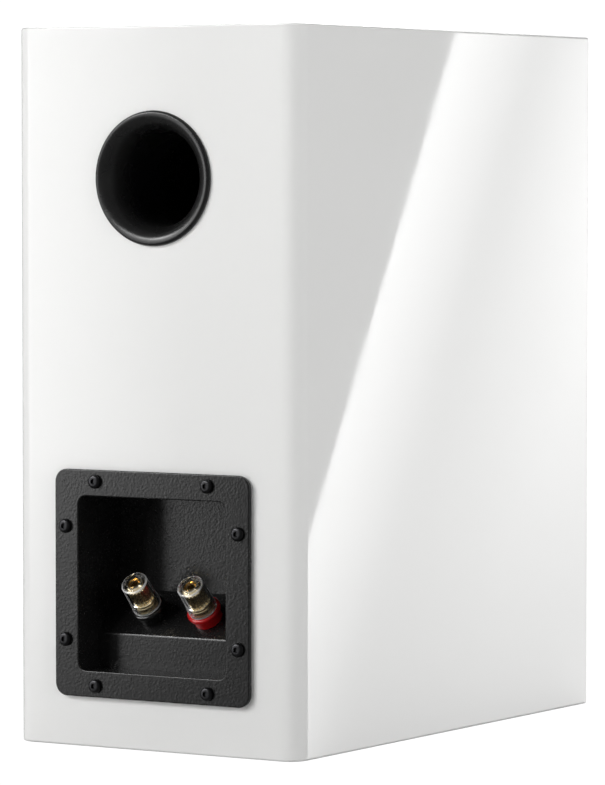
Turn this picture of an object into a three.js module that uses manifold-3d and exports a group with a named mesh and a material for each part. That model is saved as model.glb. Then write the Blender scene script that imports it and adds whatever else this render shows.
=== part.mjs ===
// A two-way bookshelf loudspeaker: a lacquered cabinet that narrows towards the back, with a rear port
// and a recessed terminal cup. Millimetres, +Z up, front towards -Y. The origin is on the table, under
// the middle of the cabinet.
import * as THREE from "three";
import { mergeVertices } from "three/addons/utils/BufferGeometryUtils.js";
import Module from "manifold-3d";

const wasm = await Module();
wasm.setup();

// Driving dimensions.
const gap = 0.3; // between pieces that touch
const past = 5; // how far a cutter runs past a face
const cabinet = { height: 380, depth: 303, frontWidth: 200, rearWidth: 174.5, wall: 18, corner: 10 };
const baffleThickness = 20;
const brace = { bottom: 197, thickness: 15, window: [100, 190], windowY: 0 };
const pad = { thickness: 12, from: -60, to: 105, bottom: 30, top: 190 };
const port = { z: 300.4, lip: 35.4, crest: 33.7, proud: 2.2, throat: 25, neck: 31.6, flare: 13 };
const portTube = { inner: 28, outer: 30.6, inside: 0, length: 140, overlap: 40 };
const cup = { z: 86.9, plate: 120.4, plateCorner: 7, plateThickness: 2.7, wall: 2.5 };
const recess = { width: 91.1, height: 92.4, corner: 4.5, riserDepth: 16.2, riserHeight: 18.2, depth: 38 };
const gasket = { width: 118, opening: 99.4, thickness: 1, corner: 6, openingCorner: 8 };
// The screws' places are from the cup's centre: top and bottom pairs, then side pairs.
const cupScrew = {
  head: 3.75, headHeight: 2.1, shank: 1.8, length: 16, socket: 1.6, across: [34.7, 53.4], rise: [54.1, 30],
};
const post = { x: 17.4, y: 125.3, z: 68.9, tilt: Math.PI / 4, bore: 3.25, stud: 2.95, neck: 4.2 };
const woofer = { z: 112, flange: 88, landing: 78, hole: 75, flangeThickness: 4.5, coil: 19.2 };
const tweeter = { z: 283, plate: 52, hole: 38, plateThickness: 4, dome: 13 };
const sides = { large: 28, medium: 20, small: 10 }; // flats round a turned piece

const frontY = -cabinet.depth / 2;
const rearY = cabinet.depth / 2;
const taper = Math.atan((cabinet.frontWidth - cabinet.rearWidth) / 2 / cabinet.depth);
const outerX = (y) => cabinet.frontWidth / 2 - (y - frontY) * Math.tan(taper);
const innerX = (y) => outerX(y) - cabinet.wall / Math.cos(taper);

const finish = (color, roughness, metalness = 0) => ({ color, roughness, metalness });
const lacquer = finish(0xf3f3f1, 0.1);
const rawBoard = finish(0xb08a5e, 0.8);
const blackPlastic = finish(0x141414, 0.45);
const glossBlack = finish(0x080808, 0.15);
const redPlastic = finish(0x9c0f12, 0.25);
const clearPlastic = finish(0xe8eef0, 0.05);
const gold = finish(0xd9a441, 0.2, 1);
const blackSteel = finish(0x0d0d0d, 0.35, 0.6);
const zincSteel = finish(0xb9bcc0, 0.35, 1);
const ferrite = finish(0x2b2b2d, 0.7);
const rubberBlack = finish(0x101010, 0.6);
const foam = finish(0x3a3a3c, 0.95);
const copper = finish(0xb5652b, 0.3, 1);

const speaker = new THREE.Group();

function place(name, geometry, material, parent = speaker) {
  const mesh = new THREE.Mesh(geometry, new THREE.MeshStandardMaterial(material));
  mesh.name = name;
  parent.add(mesh);
  return mesh;
}

// A closed geometry as a solid, for cutting and joining.
function toSolid(geometry) {
  const bare = geometry.clone();
  bare.deleteAttribute("normal");
  bare.deleteAttribute("uv");
  const merged = mergeVertices(bare, 1e-4);
  const vertProperties = new Float32Array(merged.attributes.position.array);
  const triVerts = new Uint32Array(merged.index.array);
  return new wasm.Manifold(new wasm.Mesh({ numProp: 3, vertProperties, triVerts }));
}

function toGeometry(solid) {
  const mesh = solid.getMesh();
  const geometry = new THREE.BufferGeometry();
  geometry.setAttribute("position", new THREE.BufferAttribute(mesh.vertProperties, 3));
  geometry.setIndex(new THREE.BufferAttribute(mesh.triVerts, 1));
  geometry.computeVertexNormals();
  return geometry;
}

function cut(geometry, ...cutters) {
  let solid = toSolid(geometry);
  for (const cutter of cutters) solid = solid.subtract(toSolid(cutter));
  return toGeometry(solid);
}

// A profile of [radius, distance along Y] turned about the Y axis.
function turned(profile, count = sides.large) {
  const points = profile.map(([radius, along]) => new THREE.Vector2(radius, along));
  if (THREE.ShapeUtils.area(points) < 0) points.reverse();
  if (points[0].x > 0) points.push(points[0].clone());
  return new THREE.LatheGeometry(points, count);
}

const ring = (inner, outer, from, to, count) =>
  turned([[inner, from], [outer, from], [outer, to], [inner, to]], count);

// Points [radius, along] of an arc of an ellipse, both ends included.
function arc(centre, radii, fromDegrees, toDegrees, steps) {
  const points = [];
  for (let i = 0; i <= steps; i++) {
    const angle = THREE.MathUtils.degToRad(fromDegrees + ((toDegrees - fromDegrees) * i) / steps);
    points.push([centre[0] + radii[0] * Math.cos(angle), centre[1] + radii[1] * Math.sin(angle)]);
  }
  return points;
}

// A round bar along Y, centred on (x, z).
function barY(radius, fromY, toY, x, z, count = sides.large) {
  const geometry = new THREE.CylinderGeometry(radius, radius, toY - fromY, count);
  return geometry.translate(x, (fromY + toY) / 2, z);
}

function roundedRectangle(x, y, width, height, radius) {
  const [right, top] = [width / 2 - radius, height / 2 - radius];
  const shape = new THREE.Shape();
  shape.absarc(x + right, y + top, radius, 0, Math.PI / 2);
  shape.absarc(x - right, y + top, radius, Math.PI / 2, Math.PI);
  shape.absarc(x - right, y - top, radius, Math.PI, 1.5 * Math.PI);
  shape.absarc(x + right, y - top, radius, 1.5 * Math.PI, 2 * Math.PI);
  shape.closePath();
  return shape;
}

const polygon = (points) => new THREE.Shape(points.map(([a, b]) => new THREE.Vector2(a, b)));
const plain = (depth) => ({ depth, bevelEnabled: false, curveSegments: 4 });

// A plan drawn in X and Y, as a slab between two heights.
function slab(shape, bottom, top) {
  return new THREE.ExtrudeGeometry(shape, plain(top - bottom)).translate(0, 0, bottom);
}

// An outline drawn in X and Z, as a plate between two values of Y.
function plate(shape, fromY, toY) {
  return new THREE.ExtrudeGeometry(shape, plain(toY - fromY)).rotateX(Math.PI / 2).translate(0, toY, 0);
}

// A side view drawn in Y and Z, as a bar centred on X.
function sideBar(points, width) {
  const [xAxis, yAxis, zAxis] = [0, 1, 2].map((i) => new THREE.Vector3().setComponent(i, 1));
  const turn = new THREE.Matrix4().makeBasis(yAxis, zAxis, xAxis);
  const bar = new THREE.ExtrudeGeometry(polygon(points), plain(width)).translate(0, 0, -width / 2);
  return bar.applyMatrix4(turn);
}

// The space between the side walls, drawn from above.
function betweenSides(fromY, toY) {
  const [front, back] = [innerX(fromY) - gap, innerX(toY) - gap];
  return polygon([[-front, fromY], [front, fromY], [back, toY], [-back, toY]]);
}

// Cabinet.
const wallFront = frontY + baffleThickness + gap;
const rearInside = rearY - cabinet.wall;

function addCabinet() {
  const sidePlan = new THREE.Shape();
  const cornerY = rearY - cabinet.corner;
  const cornerX = outerX(cornerY) - cabinet.corner / Math.cos(taper);
  sidePlan.moveTo(innerX(wallFront), wallFront);
  sidePlan.lineTo(outerX(wallFront), wallFront);
  sidePlan.absarc(cornerX, cornerY, cabinet.corner, taper, Math.PI / 2);
  sidePlan.lineTo(innerX(rearY), rearY);
  sidePlan.closePath();
  place("left_side_panel", slab(sidePlan, 0, cabinet.height), lacquer);
  place("right_side_panel", slab(sidePlan, 0, cabinet.height), lacquer).scale.x = -1;

  const floorPlan = betweenSides(wallFront, rearInside - gap);
  place("bottom_panel", slab(floorPlan, 0, cabinet.wall), lacquer);
  place("top_panel", slab(floorPlan, cabinet.height - cabinet.wall, cabinet.height), lacquer);

  const [front, back] = [outerX(frontY), outerX(frontY + baffleThickness)];
  const backY = frontY + baffleThickness;
  const bafflePlan = polygon([[-front, frontY], [front, frontY], [back, backY], [-back, backY]]);
  const board = cut(
    slab(bafflePlan, 0, cabinet.height),
    barY(woofer.hole, frontY - past, backY + past, 0, woofer.z),
    barY(woofer.flange + gap, frontY - past, frontY + woofer.flangeThickness + gap, 0, woofer.z),
    barY(tweeter.hole, frontY - past, backY + past, 0, tweeter.z),
    barY(tweeter.plate + gap, frontY - past, frontY + tweeter.plateThickness + gap, 0, tweeter.z),
  );
  place("front_baffle", board, lacquer);

  const room = 2 * (cup.wall + 1); // round the tray, which is one wall bigger than its hollow
  const cupHole = roundedRectangle(0, cup.z, recess.width + room, recess.height + room, gasket.openingCorner);
  const seatWidth = gasket.width + 2 * gap;
  const seat = roundedRectangle(0, cup.z, seatWidth, seatWidth, gasket.corner);
  const screwHoles = cupScrewPlaces().map(([x, z]) =>
    barY(cupScrew.shank + gap, rearY - cupScrew.length, rearY + past, x, z, sides.small));
  const rearPanel = cut(
    slab(betweenSides(rearInside, rearY), 0, cabinet.height),
    barY(port.neck + gap, rearInside - past, rearY + past, 0, port.z),
    plate(cupHole, rearInside - past, rearY + past),
    plate(seat, rearY - gasket.thickness - gap, rearY + past),
    ...screwHoles,
  );
  place("rear_panel", rearPanel, lacquer);
}

function addBraceAndLining() {
  const window = roundedRectangle(0, brace.windowY, ...brace.window, 20);
  const frame = betweenSides(wallFront, rearInside - gap);
  frame.holes.push(window);
  place("cabinet_brace", slab(frame, brace.bottom, brace.bottom + brace.thickness), rawBoard);

  const [front, back] = [innerX(pad.from) - gap, innerX(pad.to) - gap];
  const lining = slab(polygon([
    [front - pad.thickness, pad.from],
    [front, pad.from],
    [back, pad.to],
    [back - pad.thickness, pad.to],
  ]), pad.bottom, pad.top);
  place("left_damping_pad", lining, foam);
  place("right_damping_pad", lining.clone(), foam).scale.x = -1;
}

// Rear port: a flared mouth that sits on the panel, and the tube that slides over its neck.
function addPort() {
  const throatY = rearY + port.proud - port.flare;
  const neckEnd = portTube.inside + portTube.length - portTube.overlap;
  const shoulder = throatY + 2;
  const lipWidth = port.lip - port.crest;
  const mouth = turned([
    [port.throat, neckEnd],
    [portTube.inner - gap, neckEnd],
    [portTube.inner - gap, shoulder],
    [port.neck, shoulder],
    [port.neck, rearY + gap],
    ...arc([port.crest, rearY + gap], [lipWidth, port.proud - gap], 0, 90, 4),
    ...arc([port.crest, throatY], [port.crest - port.throat, port.flare], 90, 180, 5).slice(1),
  ]);
  mouth.translate(0, 0, port.z);
  place("port_flare", mouth, glossBlack);
  const tube = ring(portTube.inner, portTube.outer, portTube.inside, portTube.inside + portTube.length);
  place("port_tube", tube.translate(0, 0, port.z), blackPlastic);
}

// Terminal cup: a square plate with a tray behind it, whose sloping shelf holds the binding posts.
function cupScrewPlaces() {
  const places = [];
  for (const pair of [0, 1])
    for (const up of [1, -1])
      for (const side of [1, -1])
        places.push([side * cupScrew.across[pair], cup.z + up * cupScrew.rise[pair]]);
  return places;
}

// The tray's side view, its walls set out from the hollow by a given thickness.
function traySide(wall, mouthY) {
  const bottom = cup.z - recess.height / 2 - wall;
  const top = cup.z + recess.height / 2 + wall;
  const riserY = rearY - recess.riserDepth - wall;
  const backY = rearY - recess.depth - wall;
  const riserTop = cup.z - recess.height / 2 + recess.riserHeight;
  const shelfSum = rearY - recess.riserDepth + riserTop - wall * Math.SQRT2; // the 45 degree shelf's Y plus Z
  return [
    [mouthY, bottom],
    [mouthY, top],
    [backY, top],
    [backY, shelfSum - backY],
    [riserY, shelfSum - riserY],
    [riserY, bottom],
  ];
}

function addTerminalCup() {
  const plateBack = rearY + gap;
  const plateFront = plateBack + cup.plateThickness;
  const outline = roundedRectangle(0, cup.z, cup.plate, cup.plate, cup.plateCorner);
  const mouth = roundedRectangle(0, cup.z, recess.width, recess.height, recess.corner);
  const [trayWidth, trayHeight] = [recess.width + 2 * cup.wall, recess.height + 2 * cup.wall];
  const trayOutline = roundedRectangle(0, cup.z, trayWidth, trayHeight, recess.corner + cup.wall);
  const [behind, before] = [rearY - recess.depth - 4 * past, plateFront + past];
  const tray = toSolid(sideBar(traySide(cup.wall, plateFront - 1), trayWidth))
    .intersect(toSolid(plate(trayOutline, behind, before)));
  const hollow = toSolid(sideBar(traySide(0, before), recess.width))
    .intersect(toSolid(plate(mouth, behind, before)));
  let body = toSolid(plate(outline, plateBack, plateFront)).add(tray).subtract(hollow);
  for (const [x, z] of cupScrewPlaces())
    body = body.subtract(toSolid(barY(cupScrew.shank + gap, rearY - past, before, x, z, sides.small)));
  for (const side of [1, -1]) {
    const hole = new THREE.CylinderGeometry(post.neck + gap, post.neck + gap, 12, sides.medium);
    hole.rotateX(post.tilt).translate(side * post.x, post.y, post.z);
    body = body.subtract(toSolid(hole));
  }
  place("terminal_cup", toGeometry(body), blackPlastic);

  const gasketOutline = roundedRectangle(0, cup.z, gasket.width, gasket.width, gasket.corner);
  gasketOutline.holes.push(
    roundedRectangle(0, cup.z, gasket.opening, gasket.opening + 1, gasket.openingCorner),
  );
  const holes = cupScrewPlaces().map(([x, z]) =>
    barY(cupScrew.shank + gap, rearY - past, rearY + past, x, z, sides.small));
  place("cup_gasket", cut(plate(gasketOutline, rearY - gasket.thickness, rearY), ...holes), foam);

  const seatY = plateFront + gap;
  const head = turned([
    [0, seatY - cupScrew.length],
    [cupScrew.shank, seatY - cupScrew.length],
    [cupScrew.shank, seatY],
    ...arc([cupScrew.head - 1.7, seatY + 0.4], [1.7, cupScrew.headHeight - 0.4], -13, 90, 3),
    [0, seatY + cupScrew.headHeight],
  ], sides.small);
  const socket = new THREE.CylinderGeometry(cupScrew.socket, cupScrew.socket, 2.4, 6);
  socket.translate(0, seatY + cupScrew.headHeight, 0);
  const screw = cut(head, socket);
  cupScrewPlaces().forEach(([x, z], i) => {
    place(`cup_screw_${i + 1}`, screw.clone(), blackSteel).position.set(x, 0, z);
  });
}

// A binding post stands square to the shelf. Its own Y axis points out of the shelf.
function addPost(name, side, basePlastic) {
  const stand = new THREE.Group();
  stand.position.set(side * post.x, post.y, post.z);
  stand.rotation.x = post.tilt;
  speaker.add(stand);
  const base = turned([
    [post.bore, -3],
    [post.neck, -3],
    [post.neck, gap],
    [8, gap],
    [8, 5.2],
    [9.35, 5.5],
    [9.35, 7.2],
    [8.8, 7.8],
    [post.bore, 7.8],
  ], sides.medium);
  place(`${name}_post_base`, base, basePlastic, stand);
  const stud = turned([
    [0, -12],
    [post.stud, -12],
    [post.stud, 25.6],
    [2.05, 25.6],
    [2.05, 6],
    [0, 6],
  ], sides.medium);
  place(`${name}_post_stud`, stud, gold, stand);
  const nutBlock = new THREE.CylinderGeometry(5.8, 5.8, 4, 6).translate(0, -5.3, 0);
  const nutBore = new THREE.CylinderGeometry(post.bore, post.bore, 10, sides.medium).translate(0, -5, 0);
  const nut = cut(nutBlock, nutBore);
  place(`${name}_post_nut`, nut, zincSteel, stand);
  place(`${name}_clamp_washer`, ring(post.bore, 6.35, 8.1, 12, sides.medium), gold, stand);
  const insert = turned([
    [post.bore, 12.3],
    [6.35, 12.3],
    [6.35, 14],
    [5.6, 14],
    [5.6, 24.4],
    [3.9, 25],
    [3.9, 26.2],
    [post.bore, 26.2],
  ], sides.medium);
  place(`${name}_knob_insert`, insert, gold, stand);
  const sleeve = turned([
    [6.65, 8.1],
    [8, 8.1],
    [7.2, 25.6],
    [6.6, 26.5],
    [4.2, 26.5],
    [4.2, 25.3],
    [5.9, 24.7],
    [5.9, 14.3],
    [6.65, 14.3],
  ], sides.medium);
  place(`${name}_knob_sleeve`, sleeve, clearPlastic, stand);
}

// Woofer. Distances along Y run from the baffle's front face into the cabinet.
function addWoofer() {
  const driver = new THREE.Group();
  driver.position.set(0, frontY, woofer.z);
  speaker.add(driver);
  const frame = turned([
    [woofer.flange, 0],
    [woofer.flange, woofer.flangeThickness],
    [74.5, woofer.flangeThickness],
    [72.5, 12],
    [56, 58],
    [50, 64],
    [24, 64],
    [24, 61.5],
    [48.5, 61.5],
    [53.8, 56.5],
    [69.5, 12],
    [69.5, 1.5],
    [woofer.landing, 1.5],
    [woofer.landing, 0],
  ]);
  const windows = [0, 1, 2].map((i) =>
    new THREE.BoxGeometry(180, 22, 34).translate(0, 28, 0).rotateY((i * Math.PI) / 3));
  place("woofer_basket", cut(frame, ...windows), blackPlastic, driver);
  place("woofer_top_plate", ring(20.1, 50, 64.3, 70.3), zincSteel, driver);
  place("woofer_magnet", ring(24, 50, 70.6, 88.6), ferrite, driver);
  const yoke = turned([
    [6, 64.3],
    [18.3, 64.3],
    [18.3, 88.9],
    [48, 88.9],
    [48, 94.9],
    [6, 94.9],
  ]);
  place("woofer_yoke", yoke, zincSteel, driver);
  const winding = ring(woofer.coil - 0.4, woofer.coil + 0.4, 31.5, 76, sides.medium);
  place("woofer_voice_coil", winding, copper, driver);
  const cone = turned([
    [60.4, 1.6],
    [60.4, 2.6],
    [52, 6.4],
    [38, 16],
    [20.1, 33.5],
    [19.9, 32.2],
    [37.3, 15.1],
    [51.5, 5.4],
    [57, 1.6],
  ]);
  place("woofer_cone", cone, rubberBlack, driver);
  const capFront = arc([0, 26.5], [23, 8], 0, -90, 4);
  const capBack = arc([0, 26.5], [22.2, 7.2], -90, 0, 4);
  place("woofer_dust_cap", turned([...capFront, ...capBack], sides.medium), rubberBlack, driver);
  const rollTop = arc([65.5, 1], [5, 6.4], 0, -180, 6);
  const rollUnder = arc([65.5, 1.2], [4.2, 5.5], -180, 0, 6);
  const surround = turned([
    [woofer.landing - gap, 1.2],
    [woofer.landing - gap, 0.4],
    [70.7, 0.4],
    ...rollTop,
    [57, 0.6],
    [57, 1.3],
    ...rollUnder,
  ]);
  place("woofer_surround", surround, rubberBlack, driver);
  const waves = 3;
  const [spiderInner, spiderOuter] = [20.2, 57.8];
  const folds = [];
  for (let i = 0; i <= 2 * waves; i++) {
    const radius = spiderInner + ((spiderOuter - spiderInner) * i) / (2 * waves);
    folds.push([radius, 42 + (i % 2) * 2.2]);
  }
  const under = folds.map(([radius, along]) => [radius, along + 0.8]).reverse();
  place("woofer_spider", turned([...folds, ...under], sides.medium), finish(0xc9a227, 0.9), driver);
}

// Tweeter, laid out the same way.
function addTweeter() {
  const driver = new THREE.Group();
  driver.position.set(0, frontY, tweeter.z);
  speaker.add(driver);
  const faceplate = turned([
    [tweeter.plate, 0],
    [tweeter.plate, tweeter.plateThickness],
    [17, tweeter.plateThickness],
    [17, 2],
    [24, 0.6],
    [34, 0],
  ]);
  place("tweeter_faceplate", faceplate, blackPlastic, driver);
  const domeFront = arc([0, 2.8], [tweeter.dome, 6.4], 0, -90, 4);
  const domeBack = arc([0, 2.8], [tweeter.dome - 0.7, 5.7], -90, 0, 4);
  place("tweeter_dome", turned([...domeFront, ...domeBack], sides.medium), rubberBlack, driver);
  const rollFront = arc([14.9, 2.6], [1.5, 1.6], 0, -180, 4);
  const rollBack = arc([14.9, 3.4], [0.9, 1.2], -180, 0, 4);
  place("tweeter_surround", turned([...rollFront, ...rollBack], sides.medium), rubberBlack, driver);
  place("tweeter_voice_coil", ring(12.4, 12.9, 3.2, 9, sides.medium), copper, driver);
  place("tweeter_top_plate", ring(13.4, 32, 4.3, 8.3, sides.medium), zincSteel, driver);
  place("tweeter_magnet", ring(17, 36, 8.6, 22, sides.medium), ferrite, driver);
  const yoke = turned([
    [4, 4.6],
    [11.9, 4.6],
    [11.9, 22.3],
    [34, 22.3],
    [34, 27],
    [4, 27],
  ], sides.medium);
  place("tweeter_yoke", yoke, zincSteel, driver);
  const chamber = turned([
    [25, 27.3],
    [25, 50],
    [0, 50],
    [0, 47.5],
    [22.5, 47.5],
    [22.5, 27.3],
  ], sides.medium);
  place("tweeter_rear_chamber", chamber, blackPlastic, driver);
}

// Crossover board on the cabinet floor, its components and the wires that join it to the rest.
function addCrossover() {
  const boardBottom = cabinet.wall + gap;
  const boardTop = boardBottom + 2;
  const deck = boardTop + gap;
  const board = roundedRectangle(0, 20, 104, 100, 4);
  place("crossover_board", slab(board, boardBottom, boardTop), finish(0x1d5a34, 0.5));
  const upright = (name, inner, outer, height, x, y) => {
    const coil = ring(inner, outer, 0, height, sides.medium).rotateX(Math.PI / 2);
    place(name, coil, copper).position.set(x, y, deck);
  };
  upright("woofer_inductor", 9, 22, 20, -26, -2);
  upright("tweeter_inductor", 6, 14, 14, 28, -12);
  const lying = (name, radius, length, x, y, material) => {
    const can = new THREE.CylinderGeometry(radius, radius, length, sides.medium).rotateZ(Math.PI / 2);
    place(name, can, material).position.set(x, y, deck + radius);
  };
  lying("large_capacitor", 11, 40, -24, 36, finish(0x2b4f9c, 0.4));
  lying("small_capacitor", 8, 28, 28, 16, finish(0xd8c23a, 0.4));
  const resistor = new THREE.BoxGeometry(48, 9, 9).translate(20, 42, deck + 4.5);
  place("resistor", resistor, finish(0xe6e1d6, 0.8));
}

function addLead(name, points) {
  const extrudePath = new THREE.CatmullRomCurve3(points.map((p) => new THREE.Vector3(...p)));
  const section = new THREE.Shape().absarc(0, 0, 2, 0, 2 * Math.PI);
  const steps = 5 * (points.length - 1);
  const sweep = { steps, extrudePath, bevelEnabled: false, curveSegments: 4 };
  place(name, new THREE.ExtrudeGeometry(section, sweep), finish(0x7a1717, 0.5));
}

addCabinet();
addBraceAndLining();
addPort();
addTerminalCup();
addPost("black", 1, glossBlack);
addPost("red", -1, redPlastic);
addWoofer();
addTweeter();
addCrossover();
addLead("input_lead", [[0, 112, 58], [0, 98, 52], [4, 84, 38], [6, 66, 24]]);
addLead("woofer_lead", [[-40, -26, 24], [-50, -44, 34], [-60, -72, 60], [-64, -94, 92]]);
addLead("tweeter_lead", [
  [46, 0, 24], [52, 30, 70], [44, 44, 150], [34, 30, 212], [22, -40, 256], [8, -97, 283],
]);

export default speaker;
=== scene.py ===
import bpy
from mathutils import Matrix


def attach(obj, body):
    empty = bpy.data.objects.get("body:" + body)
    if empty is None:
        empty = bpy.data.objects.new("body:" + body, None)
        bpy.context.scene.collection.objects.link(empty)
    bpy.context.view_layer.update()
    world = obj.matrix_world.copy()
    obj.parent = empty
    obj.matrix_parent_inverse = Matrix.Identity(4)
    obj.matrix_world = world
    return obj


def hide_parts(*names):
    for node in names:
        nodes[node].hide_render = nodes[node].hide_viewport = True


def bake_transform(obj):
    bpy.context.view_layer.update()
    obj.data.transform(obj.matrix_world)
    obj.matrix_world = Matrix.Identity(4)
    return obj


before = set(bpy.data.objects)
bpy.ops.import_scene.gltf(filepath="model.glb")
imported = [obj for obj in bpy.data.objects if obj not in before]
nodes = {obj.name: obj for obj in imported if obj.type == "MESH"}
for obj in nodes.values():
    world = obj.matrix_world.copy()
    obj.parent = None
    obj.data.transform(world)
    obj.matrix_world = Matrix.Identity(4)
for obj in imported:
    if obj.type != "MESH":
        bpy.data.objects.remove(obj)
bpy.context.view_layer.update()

import math

import bmesh
import bpy
from mathutils import Vector

mm = 0.001


# Selecting and editing
def deselectAll():
    if bpy.context.object and bpy.context.object.mode != "OBJECT":
        bpy.ops.object.mode_set(mode="OBJECT")
    bpy.ops.object.select_all(action="DESELECT")


def pick(obj):
    deselectAll()
    obj.select_set(True)
    bpy.context.view_layer.objects.active = obj


def editPick(obj, kind="FACE"):
    pick(obj)
    bpy.ops.object.mode_set(mode="EDIT")
    bpy.ops.mesh.select_mode(type=kind)
    bpy.ops.mesh.select_all(action="DESELECT")


def selectFaces(obj, wanted):
    mesh = bmesh.from_edit_mesh(obj.data)
    for face in mesh.faces:
        face.select_set(bool(wanted(face.calc_center_median(), face.normal)))
    bmesh.update_edit_mesh(obj.data)


def selectEdges(obj, wanted):
    mesh = bmesh.from_edit_mesh(obj.data)
    for edge in mesh.edges:
        start, end = (vertex.co for vertex in edge.verts)
        edge.select_set(bool(wanted((start + end) / 2, (end - start).normalized())))
    bmesh.update_edit_mesh(obj.data)


def toObjectMode():
    bpy.ops.object.mode_set(mode="OBJECT")


def settle(obj):
    pick(obj)
    bpy.ops.object.transform_apply(location=True, rotation=True, scale=True)
    return obj


def useModifier(obj, kind, **settings):
    pick(obj)
    modifier = obj.modifiers.new(kind.title(), kind)
    for key, value in settings.items():
        setattr(modifier, key, value)
    bpy.ops.object.modifier_apply(modifier=modifier.name)


def soften(obj, width, segments):
    limit = math.radians(35)
    useModifier(obj, "BEVEL", width=width * mm, segments=segments, limit_method="ANGLE", angle_limit=limit)


# Rounds only the edges that stand out, and leaves the inner corners sharp.
def softenOuter(obj, width):
    editPick(obj, "EDGE")
    mesh = bmesh.from_edit_mesh(obj.data)
    for edge in mesh.edges:
        edge.select_set(edge.is_convex and edge.calc_face_angle(0) > math.radians(30))
    bmesh.update_edit_mesh(obj.data)
    bpy.ops.mesh.bevel(offset=width * mm, segments=4, affect="EDGES")
    toObjectMode()


# Smooth shading with sharp edges kept, and flat faces that stay flat next to their rounded edges.
def smooth(obj, angle=35, weighted=True):
    pick(obj)
    bpy.ops.object.shade_smooth_by_angle(angle=math.radians(angle))
    if weighted:
        useModifier(obj, "WEIGHTED_NORMAL", keep_sharp=True, weight=80)
    return obj


def carve(obj, cutter, operation="DIFFERENCE"):
    useModifier(obj, "BOOLEAN", object=cutter, operation=operation, solver="EXACT")
    bpy.data.objects.remove(cutter)


# Shapes to start from, in millimetres
def block(name, low, high):
    deselectAll()
    low, high = Vector(low) * mm, Vector(high) * mm
    bpy.ops.mesh.primitive_cube_add(size=1, location=(low + high) / 2, scale=high - low)
    obj = bpy.context.object
    obj.name = name
    return settle(obj)


# Rounds the edges of a block that run along one axis.
def roundAlong(obj, axis, radius, segments, wanted=None):
    editPick(obj, "EDGE")
    selectEdges(obj, lambda middle, way: abs(way[axis]) > 0.99 and (wanted is None or wanted(middle)))
    bpy.ops.mesh.bevel(offset=radius * mm, segments=segments, affect="EDGES")
    toObjectMode()
    return obj


def rod(name, radius, fromY, toY, x, z, sides=96, tilt=0, y=0):
    deselectAll()
    bpy.ops.mesh.primitive_cylinder_add(radius=radius * mm, depth=(toY - fromY) * mm, vertices=sides)
    obj = bpy.context.object
    obj.name = name
    obj.rotation_euler.x = -math.pi / 2
    settle(obj)
    obj.location.y = (fromY + toY) / 2 * mm
    settle(obj)
    obj.rotation_euler.x = tilt
    obj.location = (x * mm, y * mm, z * mm)
    return settle(obj)


# Points (radius, along) of an arc of an ellipse, both ends included.
def bow(centre, radii, fromDegrees, toDegrees, steps):
    points = []
    for i in range(steps + 1):
        angle = math.radians(fromDegrees + (toDegrees - fromDegrees) * i / steps)
        points.append((centre[0] + radii[0] * math.cos(angle), centre[1] + radii[1] * math.sin(angle)))
    return points


# Draws a line one point at a time, and leaves it selected in edit mode.
def drawLine(name, points):
    deselectAll()
    bpy.ops.mesh.primitive_plane_add(size=1)
    obj = bpy.context.object
    obj.name = name
    bpy.ops.object.mode_set(mode="EDIT")
    bpy.ops.mesh.select_mode(type="VERT")
    bpy.ops.mesh.select_all(action="SELECT")
    bpy.ops.mesh.merge(type="CENTER")
    bpy.ops.transform.translate(value=Vector(points[0]) * mm)
    for here, there in zip(points, points[1:]):
        step = (Vector(there) - Vector(here)) * mm
        bpy.ops.mesh.extrude_region_move(TRANSFORM_OT_translate={"value": step})
    bpy.ops.mesh.select_all(action="SELECT")
    return obj


# A profile of (radius, along Y), spun about the Y axis, then tilted and put in its place.
def spun(name, profile, place=(0, 0, 0), steps=96, tilt=0):
    loop = list(profile)
    if loop[0][0] > 0 or loop[-1][0] > 0:
        loop.append(loop[0])
    obj = drawLine(name, [(radius, along, 0) for radius, along in loop])
    bpy.ops.mesh.spin(steps=steps, angle=math.tau, center=(0, 0, 0), axis=(0, 1, 0))
    bpy.ops.mesh.select_all(action="SELECT")
    bpy.ops.mesh.remove_doubles(threshold=0.000002)
    bpy.ops.mesh.normals_make_consistent(inside=False)
    toObjectMode()
    obj.rotation_euler.x = tilt
    obj.location = Vector(place) * mm
    return settle(obj)


# An outline in Y and Z, extruded to a bar centred on X.
def sideBar(name, points, width):
    loop = [(-width / 2, y, z) for y, z in points]
    obj = drawLine(name, loop)
    bpy.ops.mesh.edge_face_add()
    bpy.ops.mesh.extrude_region_move(TRANSFORM_OT_translate={"value": (width * mm, 0, 0)})
    bpy.ops.mesh.select_all(action="SELECT")
    bpy.ops.mesh.normals_make_consistent(inside=False)
    toObjectMode()
    return settle(obj)


def copyOf(obj, name, shift=(0, 0, 0)):
    pick(obj)
    bpy.ops.object.duplicate()
    twin = bpy.context.object
    twin.name = name
    twin.data.name = name
    twin.location = Vector(shift) * mm
    return settle(twin)


def dress(obj, material, slotName, body, *replaced):
    obj.data.materials.clear()
    obj.data.materials.append(material)
    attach(obj, body)
    if replaced:
        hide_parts(*replaced)


# Shader maths
class Wire:
    def __init__(self, paint, out):
        self.paint = paint
        self.out = out

    def maths(self, operation, first, second):
        return self.paint.add("ShaderNodeMath", {"operation": operation}, {0: first, 1: second})

    def __add__(self, other):
        return self.maths("ADD", self, other)

    def __radd__(self, other):
        return self.maths("ADD", other, self)

    def __sub__(self, other):
        return self.maths("SUBTRACT", self, other)

    def __rsub__(self, other):
        return self.maths("SUBTRACT", other, self)

    def __mul__(self, other):
        return self.maths("MULTIPLY", self, other)

    def __rmul__(self, other):
        return self.maths("MULTIPLY", other, self)


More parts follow.
